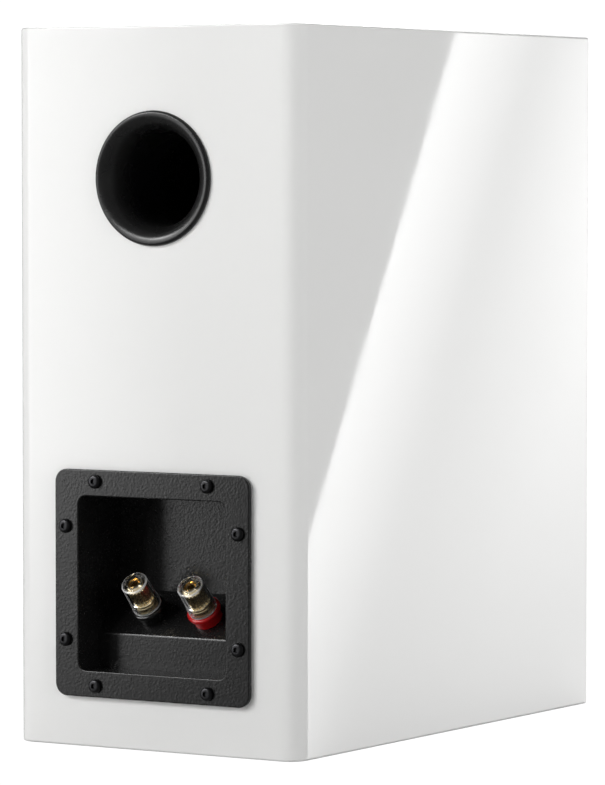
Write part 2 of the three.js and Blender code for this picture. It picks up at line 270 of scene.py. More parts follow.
class Paint:
    def __init__(self, owner):
        owner.use_nodes = True
        self.owner = owner
        self.tree = owner.node_tree
        self.tree.nodes.clear()

    # One node: its settings first, then the values or links of its sockets.
    def add(self, kind, settings=None, sockets=None, out=0):
        node = self.tree.nodes.new(kind)
        for key, value in (settings or {}).items():
            if key == "stops":
                while len(node.color_ramp.elements) < len(value):
                    node.color_ramp.elements.new(1)
                for stop, (position, shade) in zip(node.color_ramp.elements, value):
                    stop.position = position
                    stop.color = (shade, shade, shade, 1)
            else:
                setattr(node, key, value)
        for key, value in (sockets or {}).items():
            if isinstance(value, Wire):
                self.tree.links.new(value.out, node.inputs[key])
            else:
                node.inputs[key].default_value = value
        return Wire(self, node.outputs[out] if node.outputs else None)

    def place(self, stretch=(1, 1, 1)):
        spot = self.add("ShaderNodeTexCoord", out="Object")
        return self.add("ShaderNodeMapping", None, {"Vector": spot, "Scale": stretch})

    def noise(self, scale, detail=2, roughness=0.5, place=None):
        sockets = {"Vector": place or self.place(), "Scale": scale, "Detail": detail, "Roughness": roughness}
        return self.add("ShaderNodeTexNoise", None, sockets)

    def mixed(self, amount, first, second):
        sockets = {"Factor": amount, 6: (*first, 1), 7: (*second, 1)}
        return self.add("ShaderNodeMix", {"data_type": "RGBA"}, sockets, out=2)

    def between(self, value, low, high, toLow, toHigh):
        sockets = {"Value": value, "From Min": low, "From Max": high, "To Min": toLow, "To Max": toHigh}
        return self.add("ShaderNodeMapRange", None, sockets)

    def bump(self, height, strength, distance):
        sockets = {"Height": height, "Strength": strength, "Distance": distance}
        return self.add("ShaderNodeBump", None, sockets)

    def surface(self, **sockets):
        named = {key.replace("_", " "): value for key, value in sockets.items()}
        shader = self.add("ShaderNodeBsdfPrincipled", None, named)
        self.add("ShaderNodeOutputMaterial", None, {"Surface": shader})
        return self.owner


def newPaint(name):
    return Paint(bpy.data.materials.new(name))


# Finishes
def lacquerPaint():
    paint = newPaint("gloss white lacquer")
    drift = paint.noise(9, 3)
    peel = paint.noise(260, 1)
    haze = paint.noise(40, 4)
    return paint.surface(
        Base_Color=paint.mixed(drift, lacquer["light"], lacquer["dark"]),
        Roughness=paint.between(haze, 0.3, 0.7, lacquer["gloss"], lacquer["haze"]),
        IOR=1.5,
        Normal=paint.bump(peel, lacquer["peel"], 0.0002),
    )


# Moulded plastic with a spark-eroded grain of small even pebbles.
def grainedPaint(name, dark, light, rough, scale, depth, distance=0.00012):
    paint = newPaint(name)
    sockets = {"Vector": paint.place(), "Scale": scale}
    pebbles = paint.add("ShaderNodeTexVoronoi", {"feature": "SMOOTH_F1"}, sockets)
    grain = pebbles * 0.7 + paint.noise(scale * 0.7, 2) * 0.3
    cloud = paint.noise(22, 3)
    return paint.surface(
        Base_Color=paint.mixed(cloud, dark, light),
        Roughness=paint.between(grain + cloud * 0.4, 0.3, 0.9, rough - 0.05, rough + 0.05),
        IOR=1.5,
        Normal=paint.bump(grain, depth, distance),
    )


# Polished plastic: faint swirl marks and a little dust.
def polishedPaint(name, dark, light, rough):
    paint = newPaint(name)
    cloud = paint.noise(60, 3)
    dust = paint.between(paint.noise(900, 2, 0.7), 0.68, 0.78, 0, 1)
    return paint.surface(
        Base_Color=paint.mixed(cloud, dark, light),
        Roughness=paint.between(cloud, 0.35, 0.65, rough, rough + 0.05) + dust * 0.08,
        IOR=1.5,
        Normal=paint.bump(cloud, 0.02, 0.0002),
    )


# Clear plastic, with a painted highlight of opaque white where it is seen edge on and along the sleeve's two
# rims, the tip and the foot, standing in for the bright outlines that reflected light gives.
def clearPaint():
    paint = newPaint("clear polycarbonate")
    cloud = paint.noise(120, 2)
    spot = paint.add("ShaderNodeTexCoord", out="Object")
    x, y, z = (paint.add("ShaderNodeSeparateXYZ", None, {0: spot}, out=axis) for axis in range(3))
    half = math.sqrt(0.5)
    along = (y + z) * half - (post["y"] + post["z"]) * half * mm
    across = (z - y) * half - (post["z"] - post["y"]) * half * mm
    aside = paint.add("ShaderNodeMath", {"operation": "ABSOLUTE"}, {0: x}) - post["x"] * mm
    reach = across * across + aside * aside
    tipFrom, tipTo = (value * mm for value in clear["tipBand"])
    rimFrom, rimTo = ((value * mm) ** 2 for value in clear["rimBand"])
    footFrom, footTo = (value * mm for value in clear["footBand"])
    # masks of the painted highlight: around the tip rim and along the foot of the sleeve
    tip = paint.between(along, tipFrom, tipTo, 0, 1) * paint.between(reach, rimFrom, rimTo, 0, 1)
    footHighlight = paint.between(along, footFrom, footTo, 1, 0)
    seen = paint.add("ShaderNodeLayerWeight", None, {"Blend": 0.5}, out="Facing")
    # painted highlight: how much opaque white is laid over the glass, by facing angle and at the rims
    paintedHighlight = paint.between(seen, 0.6, 0.97, 0, clear["edgeOnHighlight"]) + tip * clear["tip"] + footHighlight * clear["footHighlight"]
    glass = paint.add("ShaderNodeBsdfPrincipled", None, {
        "Base Color": paint.mixed(cloud, clear["tint"], clear["thin"]),
        "Roughness": paint.between(cloud, 0.3, 0.7, 0.02, 0.05),
        "IOR": clear["bend"],
        "Transmission Weight": 1.0,
    })
    # the opaque white that is mixed in as the painted highlight
    highlightShader = paint.add("ShaderNodeBsdfPrincipled", None, {
        "Base Color": paint.mixed(cloud, clear["highlightWhite"], clear["tint"]),
        "Roughness": paint.between(cloud, 0.3, 0.7, 0.2, 0.3),
        "IOR": clear["bend"],
    })
    both = paint.add("ShaderNodeMixShader", None, {0: paintedHighlight, 1: glass, 2: highlightShader})
    paint.add("ShaderNodeOutputMaterial", None, {"Surface": both})
    return paint.owner


# Metal with fine marks; the pattern can be drawn out along one axis.
def metalPaint(name, dark, light, rough, stretch=(1, 1, 1), scale=700, marks=0.1):
    paint = newPaint(name)
    lines = paint.noise(scale, 3, 0.6, paint.place(stretch=stretch))
    cloud = paint.noise(90, 2)
    return paint.surface(
        Base_Color=paint.mixed(cloud, dark, light),
        Metallic=1.0,
        Roughness=paint.between(lines, 0.3, 0.7, rough, rough + 0.12),
        Normal=paint.bump(lines, marks, 0.0001),
    )


def boardPaint():
    paint = newPaint("raw fibreboard")
    fibre = paint.noise(500, 4, 0.7, paint.place(stretch=(1, 1, 0.3)))
    fleck = paint.noise(120, 3)
    return paint.surface(
        Base_Color=paint.mixed(fibre * 0.6 + fleck * 0.4, (0.5, 0.34, 0.19), (0.3, 0.18, 0.09)),
        Roughness=paint.between(fibre, 0.3, 0.7, 0.75, 0.92),
        Normal=paint.bump(fibre, 0.3, 0.0003),
    )


def rubberPaint():
    paint = newPaint("surround rubber")
    bloom = paint.noise(35, 3)
    pores = paint.noise(2200, 2)
    return paint.surface(
        Base_Color=paint.mixed(bloom, (0.012, 0.012, 0.013), (0.022, 0.022, 0.023)),
        Roughness=paint.between(bloom, 0.3, 0.7, 0.42, 0.58),
        Normal=paint.bump(pores, 0.12, 0.0001),
    )


# A pressed cone: fine strands that lie every way, in a dull skin.
def conePaint():
    paint = newPaint("woven cone")
    swirl = paint.noise(60, 3)
    strands = paint.add("ShaderNodeTexVoronoi", {"feature": "DISTANCE_TO_EDGE"}, {"Scale": 420.0})
    return paint.surface(
        Base_Color=paint.mixed(strands * 4 + swirl * 0.3, (0.01, 0.01, 0.011), (0.035, 0.035, 0.038)),
        Roughness=paint.between(swirl, 0.3, 0.7, 0.36, 0.5),
        Normal=paint.bump(strands, 0.4, 0.0002),
    )


# Cloth woven along two axes across the piece.
def clothPaint(name, dark, light, pitch, rough=0.85, coat=0.0):
    paint = newPaint(name)
    along = {"wave_type": "BANDS", "bands_direction": "X"}
    up = {"wave_type": "BANDS", "bands_direction": "Z"}
    period = 0.3142  # metres from band to band at a scale of 1
    sockets = {"Vector": paint.place(), "Scale": period / pitch / mm}
    weave = paint.add("ShaderNodeTexWave", along, sockets)
    weave = weave * paint.add("ShaderNodeTexWave", up, sockets)
    fuzz = paint.noise(600, 3)
    return paint.surface(
        Base_Color=paint.mixed(weave * 0.7 + fuzz * 0.3, dark, light),
        Roughness=paint.between(fuzz, 0.3, 0.7, rough - 0.08, rough + 0.05),
        Coat_Weight=coat,
        Normal=paint.bump(weave, 0.35, 0.0002),
    )


def foamPaint():
    paint = newPaint("open-cell foam")
    cells = paint.add("ShaderNodeTexVoronoi", None, {"Scale": 380.0})
    cloud = paint.noise(30, 2)
    return paint.surface(
        Base_Color=paint.mixed(cells * 0.7 + cloud * 0.3, (0.07, 0.07, 0.075), (0.02, 0.02, 0.022)),
        Roughness=paint.between(cloud, 0.3, 0.7, 0.9, 1.0),
        Normal=paint.bump(cells, 0.9, 0.001),
    )


# Enamelled wire laid side by side; the bands run across the winding's own axis.
def windingPaint(name, axis, dark, light):
    paint = newPaint(name)
    bands = {"wave_type": "BANDS", "bands_direction": axis}
    sockets = {"Vector": paint.place(), "Scale": 300.0, "Distortion": 0.3}
    turns = paint.add("ShaderNodeTexWave", bands, sockets)
    cloud = paint.noise(80, 2)
    return paint.surface(
        Base_Color=paint.mixed(turns * 0.7 + cloud * 0.3, dark, light),
        Metallic=0.85,
        Roughness=paint.between(cloud, 0.3, 0.7, 0.25, 0.4),
        Normal=paint.bump(turns, 0.6, 0.0003),
    )


print("finishes")
lacquer = {
    "light": (0.86, 0.86, 0.85),
    "dark": (0.84, 0.84, 0.83),
    "gloss": 0.012,
    "haze": 0.03,
    "peel": 0.008,
}
# the clear sleeve's glass, and the opaque white painted on it as a highlight at its silhouette, tip rim and
# foot
clear = {
    "tint": (0.99, 0.99, 0.99),
    "thin": (0.96, 0.97, 0.97),
    "highlightWhite": (0.9, 0.9, 0.9),
    "bend": 1.5,
    "edgeOnHighlight": 0.6,
    "tip": 0.6,
    "footHighlight": 0.4,
    "tipBand": (25.2, 25.8),
    "rimBand": (6.4, 7.0),
    "footBand": (8.6, 9.2),
}
# The binding posts' sizes stand here because the clear finish, and its painted highlight bands, follow their
# axis.
post = {
    "x": 17.4,
    "y": 125.3,
    "z": 68.9,
    "tilt": math.pi / 4,
    "neck": 4.2,
    "core": 5.6,
    "ribs": 20,
    "ribDepth": 0.4,
    "threads": 17,
}
lacquerFinish = lacquerPaint()
boardFinish = boardPaint()
mouldGrain = {"rough": 0.24, "scale": 900, "depth": 0.55, "distance": 0.00014}
grained = grainedPaint("moulded black plastic", (0.006, 0.006, 0.006), (0.01, 0.01, 0.01), **mouldGrain)
glossBlack = polishedPaint("polished black plastic", (0.004, 0.004, 0.004), (0.008, 0.008, 0.008), 0.16)
satinBlack = polishedPaint("satin black plastic", (0.008, 0.008, 0.008), (0.013, 0.013, 0.013), 0.25)
glossRed = polishedPaint("polished red plastic", (0.5, 0.006, 0.008), (0.4, 0.004, 0.006), 0.14)
clearFinish = clearPaint()
gold = metalPaint("gold plate", (0.95, 0.76, 0.44), (1.0, 0.86, 0.58), 0.12, marks=0.04)
blackSteel = metalPaint("blackened steel", (0.03, 0.03, 0.032), (0.06, 0.06, 0.063), 0.3)
zincSteel = metalPaint("zinc-plated steel", (0.5, 0.51, 0.53), (0.68, 0.69, 0.7), 0.28, scale=250)
ferrite = grainedPaint("ferrite", (0.035, 0.035, 0.038), (0.06, 0.06, 0.065), 0.6, 500, 0.5)
rubber = rubberPaint()
coneFinish = conePaint()
silk = clothPaint("coated silk", (0.01, 0.01, 0.011), (0.025, 0.025, 0.027), 0.35, 0.5, 0.4)
spiderCloth = clothPaint("stiffened cloth", (0.35, 0.2, 0.05), (0.62, 0.42, 0.14), 0.8)
foam = foamPaint()
copper = windingPaint("copper winding", "Y", (0.35, 0.12, 0.04), (0.75, 0.34, 0.16))
uprightCopper = windingPaint("copper choke", "Z", (0.35, 0.12, 0.04), (0.75, 0.34, 0.16))
circuitBoard = grainedPaint("circuit board", (0.012, 0.09, 0.035), (0.02, 0.13, 0.05), 0.4, 300, 0.15)
blueSleeve = polishedPaint("blue shrink sleeve", (0.03, 0.08, 0.3), (0.04, 0.1, 0.36), 0.3)
yellowSleeve = polishedPaint("yellow shrink sleeve", (0.6, 0.48, 0.06), (0.7, 0.56, 0.08), 0.3)
cement = grainedPaint("cast cement", (0.6, 0.57, 0.5), (0.75, 0.72, 0.66), 0.8, 400, 0.5)
wireSheath = grainedPaint("wire sheath", (0.25, 0.02, 0.02), (0.32, 0.03, 0.03), 0.4, 800, 0.1)


# Camera, lights and floor
studio = {
    "camera": (-1.2272, 2.0691, 0.3031),
    "lookAt": (-0.0904, 0.1515, 0.191),
    "lens": 200,
    "backdrop": 1.05,
    "ambient": 0.12,
    "throughClear": 0.35,
    "boxPower": 4.0,
    "keyPower": 146,
    "cardPower": 6.0,
    "fillPower": 30,
    "frontPower": 95,
}


def aim(obj, target):
    obj.rotation_euler = (Vector(target) - obj.location).to_track_quat("-Z", "Y").to_euler()


def addCamera():
    deselectAll()
    bpy.ops.object.camera_add(location=studio["camera"])
    camera = bpy.context.object
    aim(camera, studio["lookAt"])
    camera.data.lens = studio["lens"]
    camera.data.sensor_width = 36
    camera.data.clip_end = 50
    bpy.context.scene.camera = camera


def addWorld():
    world = bpy.data.worlds.new("studio")
    bpy.context.scene.world = world
    paint = Paint(world)
    direct = paint.add("ShaderNodeLightPath", out="Is Camera Ray")
    through = paint.add("ShaderNodeLightPath", out="Is Transmission Ray")
    strength = direct * (studio["backdrop"] - studio["ambient"])
    strength = strength + through * studio["throughClear"] + studio["ambient"]
    glow = paint.add("ShaderNodeBackground", None, {"Color": (1, 1, 1, 1), "Strength": strength})
    paint.add("ShaderNodeOutputWorld", None, {"Surface": glow})


def addFloor():
    deselectAll()
    bpy.ops.mesh.primitive_plane_add(size=14)
    floor = bpy.context.object
    floor.name = "studio_floor"
    paint = newPaint("pale floor")
    rays = paint.add("ShaderNodeLightPath", out="Is Camera Ray")
    paper = paint.add("ShaderNodeBsdfDiffuse", None, {"Color": (0.6, 0.6, 0.6, 1)})
    sockets = {"Color": (1, 1, 1, 1), "Strength": studio["backdrop"]}
    white = paint.add("ShaderNodeEmission", None, sockets)
    both = paint.add("ShaderNodeMixShader", None, {0: rays, 1: paper, 2: white})
    paint.add("ShaderNodeOutputMaterial", None, {"Surface": both})
    floor.data.materials.append(paint.owner)
    floor.visible_glossy = False


# A glowing sheet that only lights and is reflected. Each layer of its glow has a ramp across and a ramp up.
def addSheet(name, corners, layers, power, diffuse):
    deselectAll()
    bpy.ops.mesh.primitive_plane_add(size=1)
    sheet = bpy.context.object
    sheet.name = name
    for vertex, corner in zip(sheet.data.vertices, corners):
        vertex.co = corner
    paint = newPaint(name + " glow")
    spot = paint.add("ShaderNodeTexCoord", out="UV")
    across = paint.add("ShaderNodeSeparateXYZ", None, {0: spot}, out=0)
    up = paint.add("ShaderNodeSeparateXYZ", None, {0: spot}, out=1)
    shade = 0.0
    for stops, rise in layers:
        side = paint.add("ShaderNodeValToRGB", {"stops": stops}, {0: across})
        shade = side * paint.add("ShaderNodeValToRGB", {"stops": rise}, {0: up}) + shade
    glow = paint.add("ShaderNodeEmission", None, {"Color": shade, "Strength": power})
    paint.add("ShaderNodeOutputMaterial", None, {"Surface": glow})
    sheet.data.materials.append(paint.owner)
    sheet.visible_camera = False
    sheet.visible_diffuse = diffuse


def addSoftLight(name, place, target, size, power):
    deselectAll()
    bpy.ops.object.light_add(type="AREA", location=place)
    light = bpy.context.object
    light.name = name
    light.data.shape = "RECTANGLE"
    light.data.size, light.data.size_y = size
    light.data.energy = power
    light.visible_camera = False
    aim(light, target)
    return light


def addStudio():
    scene = bpy.context.scene
    scene.view_settings.view_transform = "Standard"
    addCamera()
    addWorld()
    addFloor()
    # the large box that the back of the cabinet reflects, dim along its foot and its inner side
    addSheet(
        "key_box",
        [(0.85, 2.0, -0.6), (2.5, 2.0, -0.6), (0.85, 2.0, 1.5), (2.5, 2.0, 1.5)],
        [([(0, 0.03), (0.18, 0.06), (0.3, 1)], [(0.16, 0.25), (0.3, 1)])],
        studio["boxPower"],
        True,
    )
    addSoftLight("key", (1.85, 2.55, 1.6), (0, 0.15, 0.2), (2.0, 1.6), studio["keyPower"])
    # the slanted card that the side reflects, with its edge across the panel
    nearRise = [(0.29, 0.76), (0.46, 0.82), (0.85, 0.83)]
    farRise = [(0.22, 0.32), (0.3, 0.4), (0.375, 0.42), (0.46, 0.5), (0.64, 0.7), (0.857, 1)]
    addSheet(
        "side_card",
        [(-1.79, -2.0, -0.62), (-1.17, -2.0, -0.62), (-1.363, -2.0, 0.60), (-0.743, -2.0, 0.60)],
        [([(0, 1), (0.22, 0.36), (0.45, 0)], nearRise), ([(0.18, 0), (0.45, 1)], farRise)],
        studio["cardPower"],
        False,
    )
    fill = addSoftLight("side_fill", (-2.3, 0.4, 0.5), (0, 0, 0.2), (1.4, 1.4), studio["fillPower"])
    fill.visible_glossy = False
    addSoftLight("front_key", (1.2, -2.2, 2.3), (0, 0, 0.2), (1.6, 1.6), studio["frontPower"])


addStudio()
print("studio")


# Cabinet
cabinet = {
    "height": 380,
    "depth": 303,
    "frontWidth": 200,
    "rearWidth": 174.5,
    "wall": 18,
    "baffle": 20,
    "corner": 10,
    "edge": 1.2,
    "rimBevel": 0.5,
}
frontY = -cabinet["depth"] / 2
rearY = cabinet["depth"] / 2
slope = (cabinet["frontWidth"] - cabinet["rearWidth"]) / 2 / cabinet["depth"]
gap = 0.3  # between pieces that touch
past = 5  # how far a cutter runs past a face

port = {
    "z": 300.4,
    "lip": 35.4,
    "crest": 33.7,
    "proud": 2.2,
    "throat": 25,
    "neck": 31.6,
    "flare": 13,
    "tubeEnd": 100,
    "tubeNeck": 27.7,
}
cup = {
    "z": 86.9,
    "plate": 120.4,
    "corner": 7,
    "thickness": 2.7,
    "wall": 2.5,
    "edge": 0.7,
    "holeCorner": 8,
    "seat": 118.6,
    "seatDepth": 1.3,
    "seatCorner": 6,
}
recess = {"width": 91.1, "height": 92.4, "corner": 4.5, "riserDepth": 16.2, "riserHeight": 18.2, "depth": 38}
woofer = {
    "z": 112,
    "flange": 88,
    "landing": 78,
    "hole": 75,
    "thickness": 4.5,
    "boltRing": 83,
    "bolts": 6,
    "firstBolt": 30,
}
tweeter = {
    "z": 283,
    "plate": 52,
    "hole": 38,
    "thickness": 4,
    "boltRing": 44,
    "bolts": 4,
    "firstBolt": 45,
}


def halfWidth(y):
    return cabinet["frontWidth"] / 2 - (y - frontY) * slope


# A block whose width follows the taper of the sides, less an inset.
def taperedBlock(name, fromY, toY, bottom, top, inset=0):
    front, back = halfWidth(fromY) - inset, halfWidth(toY) - inset
    obj = block(name, (-front, fromY, bottom), (front, toY, top))
    editPick(obj)
    selectFaces(obj, lambda middle, normal: normal.y > 0.9)
    bpy.ops.transform.resize(value=(back / front, 1, 1), center_override=(0, 0, 0))
    toObjectMode()
    return obj


def roundedPlate(name, size, fromY, toY, z, corner, segments=8):
    width, height = size
    obj = block(name, (-width / 2, fromY, z - height / 2), (width / 2, toY, z + height / 2))
    return roundAlong(obj, 1, corner, segments)


# Eases the front edge of a driver's rebate.
def bevelRim(obj, radius, z):
    def onRim(middle, way):
        reach = math.hypot(middle.x, middle.z - z * mm)
        return abs(middle.y - frontY * mm) < 0.05 * mm and abs(reach - radius * mm) < 0.4 * mm

    editPick(obj, "EDGE")
    selectEdges(obj, onRim)
    bpy.ops.mesh.bevel(offset=cabinet["rimBevel"] * mm, segments=2, affect="EDGES")
    toObjectMode()


def addCabinet():
    shell = taperedBlock("cabinet_shell", frontY, rearY, 0, cabinet["height"])
    roundAlong(shell, 2, cabinet["corner"], 14, lambda middle: middle.y > 0)
    soften(shell, cabinet["edge"], 4)
    wall, insideFront, insideRear = cabinet["wall"], frontY + cabinet["baffle"], rearY - cabinet["wall"]
    ceiling = cabinet["height"] - wall
    carve(shell, taperedBlock("hollow", insideFront, insideRear, wall, ceiling, wall))
    carve(shell, rod("port_hole", port["neck"] + gap, insideRear - past, rearY + past, 0, port["z"]))
    room = 2 * (cup["wall"] + 1)
    opening = (recess["width"] + room, recess["height"] + room)
    hole = roundedPlate("cup_hole", opening, insideRear - past, rearY + past, cup["z"], cup["holeCorner"])
    carve(shell, hole)
    size, seatY = (cup["seat"], cup["seat"]), rearY - cup["seatDepth"]
    carve(shell, roundedPlate("cup_seat", size, seatY, rearY + past, cup["z"], cup["seatCorner"]))
    for driver, outer in ((woofer, woofer["flange"]), (tweeter, tweeter["plate"])):
        rebate = frontY + driver["thickness"] + gap
        carve(shell, rod("hole", driver["hole"], frontY - past, insideFront + past, 0, driver["z"], 128))
        carve(shell, rod("rebate", outer + gap, frontY - past, rebate, 0, driver["z"], 128))
        bevelRim(shell, outer + gap, driver["z"])
    smooth(shell)
    panels = [f"{side}_panel" for side in ("left_side", "right_side", "top", "bottom", "rear")]
    dress(shell, lacquerFinish, "lacquer", "root", "front_baffle", *panels)
    shell.data.materials.append(boardFinish)
    slack = 0.5

    # The hollow's faces and the drivers' holes and rebates, but not the lacquered front.
    def insideFace(middle, normal):
        x, y, z = middle / mm
        deep = insideFront - slack < y < insideRear + slack
        between = wall - slack < z < ceiling + slack
        near = abs(x) < halfWidth(y) - wall + slack
        reach = min(math.hypot(x, z - driver["z"]) for driver in (woofer, tweeter))
        inHole = frontY + gap < y < insideFront and reach < woofer["flange"] + slack and normal.y < 0.9
        return between and near and (deep or inHole)

    editPick(shell)
    selectFaces(shell, insideFace)
    shell.active_material_index = 1
    bpy.ops.object.material_slot_assign()
    toObjectMode()


addCabinet()
print("cabinet")


# Port
def addPort():
    throatY = rearY + port["proud"] - port["flare"]
    shoulder, neckEnd, neck = throatY + 2, port["tubeEnd"], port["tubeNeck"]
    lipWidth, flareWidth = port["lip"] - port["crest"], port["crest"] - port["throat"]
    profile = [(port["throat"], neckEnd), (neck, neckEnd), (neck, shoulder), (port["neck"], shoulder)]
    profile.append((port["neck"], rearY + gap))
    profile += bow((port["crest"], rearY + gap), (lipWidth, port["proud"] - gap), 0, 90, 12)
    profile += bow((port["crest"], throatY), (flareWidth, port["flare"]), 90, 180, 24)[1:]
    mouth = spun("port_mouth", profile, (0, 0, port["z"]), 160)
    smooth(mouth, 40, False)
    dress(mouth, satinBlack, "gloss_black", "root", "port_flare")


addPort()
print("port")


# Terminal cup: the tray's side view is set out from the hollow by a given wall.
def traySide(wall, mouthY):
    bottom, top = cup["z"] - recess["height"] / 2 - wall, cup["z"] + recess["height"] / 2 + wall
    riserY, backY = rearY - recess["riserDepth"] - wall, rearY - recess["depth"] - wall
    riserTop = cup["z"] - recess["height"] / 2 + recess["riserHeight"]
    shelf = rearY - recess["riserDepth"] + riserTop - wall * math.sqrt(2)
    return [
        (mouthY, bottom),
        (mouthY, top),
        (backY, top),
        (backY, shelf - backY),
        (riserY, shelf - riserY),
        (riserY, bottom),
    ]


plateBack = rearY + gap
plateFront = plateBack + cup["thickness"]
screw = {
    "radius": 3.75,
    "height": 2.1,
    "roll": 1.7,
    "shank": 1.8,
    "tip": 1.2,
    "length": 16,
    "socket": 1.6,
    "socketDepth": 1.2,
}
screwPlaces = [
    (side * across, cup["z"] + up * rise)
    for across, rise in ((34.7, 54.1), (53.4, 30))
    for up in (1, -1)
    for side in (1, -1)
]


def addCup():
    behind, before = rearY - recess["depth"] - 4 * past, plateFront + past
    size = (cup["plate"], cup["plate"])
    body = roundedPlate("cup_moulding", size, plateBack, plateFront, cup["z"], cup["corner"], 12)
    trayWidth = recess["width"] + 2 * cup["wall"]
    trayHeight = recess["height"] + 2 * cup["wall"]
    tray = sideBar("tray", traySide(cup["wall"], plateFront - 1), trayWidth)
    size, corner = (trayWidth, trayHeight), recess["corner"] + cup["wall"]
    outer = roundedPlate("outer", size, behind, before, cup["z"], corner)
    carve(tray, outer, "INTERSECT")
    hollow = sideBar("hollow", traySide(0, before), recess["width"])
    size = (recess["width"], recess["height"])
    mouth = roundedPlate("mouth", size, behind, before, cup["z"], recess["corner"])
    carve(hollow, mouth, "INTERSECT")
    carve(body, tray, "UNION")
    carve(body, hollow)
    softenOuter(body, cup["edge"])
    for side in (1, -1):
        place = {"x": side * post["x"], "y": post["y"], "z": post["z"], "tilt": post["tilt"]}
        carve(body, rod("post_hole", post["neck"] + gap, -6, 6, sides=48, **place))
    for x, z in screwPlaces:
        carve(body, rod("screw_hole", screw["shank"] + gap, rearY - past, before, x, z, 32))
    smooth(body, 30)
    dress(body, grained, "textured_black", "root", "terminal_cup")


# One button-head socket screw, copied to every place; its head sits on y = 0 and faces +Y.
def makeScrew():
    roll, inner, brim = screw["roll"], screw["radius"] - screw["roll"], 0.4
    profile = [(0, -screw["length"]), (screw["tip"], -screw["length"])]
    profile += [(screw["shank"], 0.8 - screw["length"]), (screw["shank"], 0), (3.4, 0)]
    profile += bow((inner, brim), (roll, screw["height"] - brim), -8, 90, 10)
    profile.append((0, screw["height"]))
    obj = spun("screw", profile, steps=48)
    deep = screw["height"] - screw["socketDepth"]
    carve(obj, rod("hex", screw["socket"], deep, screw["height"] + 1, 0, 0, 6))
    return smooth(obj, 30)


def addScrews():
    first = makeScrew()
    first.data.materials.append(blackSteel)
    for number, (x, z) in enumerate(screwPlaces, 1):
        twin = copyOf(first, f"cup_bolt_{number}", (x, plateFront + gap, z))
        dress(twin, blackSteel, "black_screw", "root", f"cup_screw_{number}")
    for name, driver in (("woofer_bolt", woofer), ("tweeter_bolt", tweeter)):
        for number in range(driver["bolts"]):
            angle = math.radians(driver["firstBolt"] + 360 * number / driver["bolts"])
            x, rise = driver["boltRing"] * math.cos(angle), driver["boltRing"] * math.sin(angle)
            twin = copyOf(first, f"{name}_{number + 1}")
            twin.rotation_euler.z = math.pi
            twin.location = Vector((x, frontY, driver["z"] + rise)) * mm
            dress(settle(twin), blackSteel, "black_screw", "root")
    bpy.data.objects.remove(first)


addCup()
print("terminal cup")
addScrews()
print("screws")


# Binding posts: each stands square to the shelf, and its profiles run outwards along its own axis.
# Every third line of the core's side is drawn inwards, which leaves ribs between.
def ribCore(core):
    pitch = math.tau / (3 * post["ribs"])

    def inGroove(middle, way):
        reach = math.hypot(middle.x, middle.z) / mm
        count = round(math.atan2(middle.z, middle.x) / pitch)
        return abs(way.y) > 0.99 and abs(reach - post["core"]) < 0.02 and count % 3 == 0

    editPick(core, "EDGE")
    selectEdges(core, inGroove)
    shrink = 1 - post["ribDepth"] / post["core"]
    bpy.ops.transform.resize(value=(shrink, 1, shrink), center_override=(0, 0, 0))
    toObjectMode()


def addPost(name, side, baseFinish, baseSlot):
    spot = {"place": (side * post["x"], post["y"], post["z"]), "tilt": post["tilt"]}
    base = [(3.25, -3), (4.2, -3), (4.2, gap), (8, gap), (8, 5.1), (8.25, 5.45)]
    base += bow((8.8, 6.05), (0.55, 0.55), -90, 0, 5)
    base += bow((8.25, 6.7), (1.1, 1.1), 0, 90, 8)
    base += [(3.6, 7.8), (3.25, 7.5)]
    rim = smooth(spun(f"{name}_base_collar", base, **spot), 40)
    dress(rim, baseFinish, baseSlot, "root", f"{name}_post_base")

    stud = [(0, -12), (2.6, -12), (2.95, -11.6), (2.95, 7.6)]
    for turn in range(post["threads"]):
        stud += [(2.55, 8.1 + turn), (2.95, 8.6 + turn)]
    stud += [(2.6, 25.4), (2.4, 25.6), (2.2, 25.6), (2.05, 25.4), (2.05, 6), (0, 6)]
    thread = smooth(spun(f"{name}_threaded_stud", stud, steps=64, **spot), 25)
    dress(thread, gold, "gold_plate", "root", f"{name}_post_stud")

    washer = [(3.25, 8.3), (3.45, 8.1), (6.15, 8.1), (6.35, 8.3), (6.35, 11.8), (6.15, 12), (3.45, 12)]
    washer.append((3.25, 11.8))
    ring = smooth(spun(f"{name}_washer_ring", washer, **spot), 25)
    dress(ring, gold, "gold_plate", f"{name}_washer", f"{name}_clamp_washer")

    insert = [(3.25, 12.5), (3.45, 12.3), (6.15, 12.3), (6.35, 12.5), (6.35, 13.4), (6.1, 13.85)]
    insert += [(post["core"], 14), (post["core"], 23.4), (5.4, 23.8), (3.9, 25), (3.9, 25.9)]
    insert += [(3.65, 26.2), (3.4, 26.2), (3.25, 26)]
    core = spun(f"{name}_gold_insert", insert, steps=3 * post["ribs"])
    ribCore(core)
    core.rotation_euler.x = post["tilt"]
    core.location = Vector(spot["place"]) * mm
    smooth(settle(core), 25)
    dress(core, gold, "gold_plate", f"{name}_knob", f"{name}_knob_insert")

    sleeve = [(6.65, 8.3), (6.85, 8.1), (7.7, 8.1), (7.93, 8.2), (8, 8.5)]
    sleeve += [(7.8, 11), (7.45, 16), (7.22, 24.9)]
    sleeve += bow((6.4, 25.6), (0.8, 0.9), 0, 90, 8)
    sleeve += [(4.4, 26.5), (4.2, 26.3), (4.2, 25.3), (5.9, 24.7), (5.9, 14.3), (6.65, 14.3)]
    cover = smooth(spun(f"{name}_clear_sleeve", sleeve, **spot), 30, False)
    dress(cover, clearFinish, "clear_plastic", f"{name}_knob", f"{name}_knob_sleeve")


addPost("black", 1, glossBlack, "gloss_black")
addPost("red", -1, glossRed, "gloss_red")
print("binding posts")


